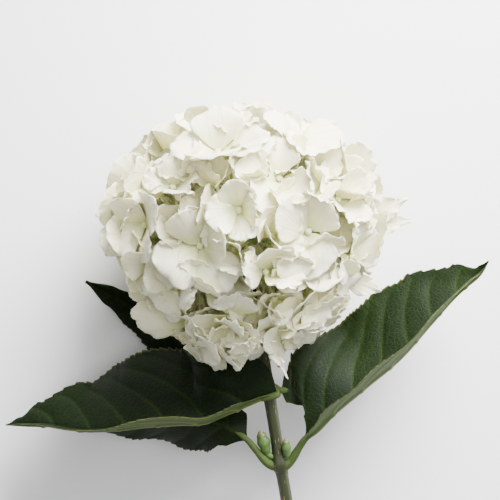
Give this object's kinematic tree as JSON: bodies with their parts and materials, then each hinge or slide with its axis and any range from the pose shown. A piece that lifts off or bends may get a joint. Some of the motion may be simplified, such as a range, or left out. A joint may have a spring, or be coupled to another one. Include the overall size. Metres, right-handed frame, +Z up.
{
  "type": "cut hydrangea",
  "caption": "Cut white mophead hydrangea lying on its side: a dense ball of four-sepalled florets on a woody stem with toothed green leaves and axillary buds.",
  "frame": {"origin": "on the surface that the flower lies on, under the middle of its box", "axes": "+Z up from the surface, +Y along the flower's length from the cut end of the stem towards the head, +X to the right when the head points away from the viewer"},
  "size_m": [0.293, 0.4444, 0.154],
  "materials": {
    "sepal_white": "thin translucent cream-white sepal, finely veined, green-yellow at the base",
    "leaf_green": "dark green quilted upper face with a soft sheen, pale green matt underside with raised veins",
    "stem_green": "smooth olive green shoot with pale lenticels",
    "bud_green": "matt green bud scales"
  },
  "bodies": {
    "root": {"stem": "stem_green", "left_bud": "bud_green", "right_bud": "bud_green", "lower_left_leaf": "leaf_green", "lower_right_leaf": "leaf_green", "upper_back_leaf": "leaf_green", "upper_left_leaf": "leaf_green", "upper_right_leaf": "leaf_green", "ray_1": "stem_green", "ray_2": "stem_green", "ray_3": "stem_green", "ray_4": "stem_green", "ray_5": "stem_green", "ray_6": "stem_green", "floret_01": "sepal_white", "floret_02": "sepal_white", "floret_03": "sepal_white", "floret_04": "sepal_white", "floret_05": "sepal_white", "floret_06": "sepal_white", "floret_07": "sepal_white", "floret_08": "sepal_white", "floret_09": "sepal_white", "floret_10": "sepal_white", "floret_11": "sepal_white", "floret_12": "sepal_white", "floret_13": "sepal_white", "floret_14": "sepal_white", "floret_15": "sepal_white", "floret_16": "sepal_white", "floret_17": "sepal_white", "floret_18": "sepal_white", "floret_19": "sepal_white", "floret_20": "sepal_white", "floret_21": "sepal_white", "floret_22": "sepal_white", "floret_23": "sepal_white", "floret_24": "sepal_white", "floret_25": "sepal_white", "floret_26": "sepal_white", "floret_27": "sepal_white", "floret_28": "sepal_white", "floret_29": "sepal_white", "floret_30": "sepal_white", "floret_31": "sepal_white", "floret_32": "sepal_white", "floret_33": "sepal_white", "floret_34": "sepal_white", "floret_35": "sepal_white", "floret_36": "sepal_white", "floret_37": "sepal_white", "floret_38": "sepal_white", "floret_39": "sepal_white", "floret_40": "sepal_white", "floret_41": "sepal_white", "floret_42": "sepal_white", "floret_43": "sepal_white", "floret_44": "sepal_white", "floret_45": "sepal_white", "floret_46": "sepal_white"}
  },
  "joints": []
}
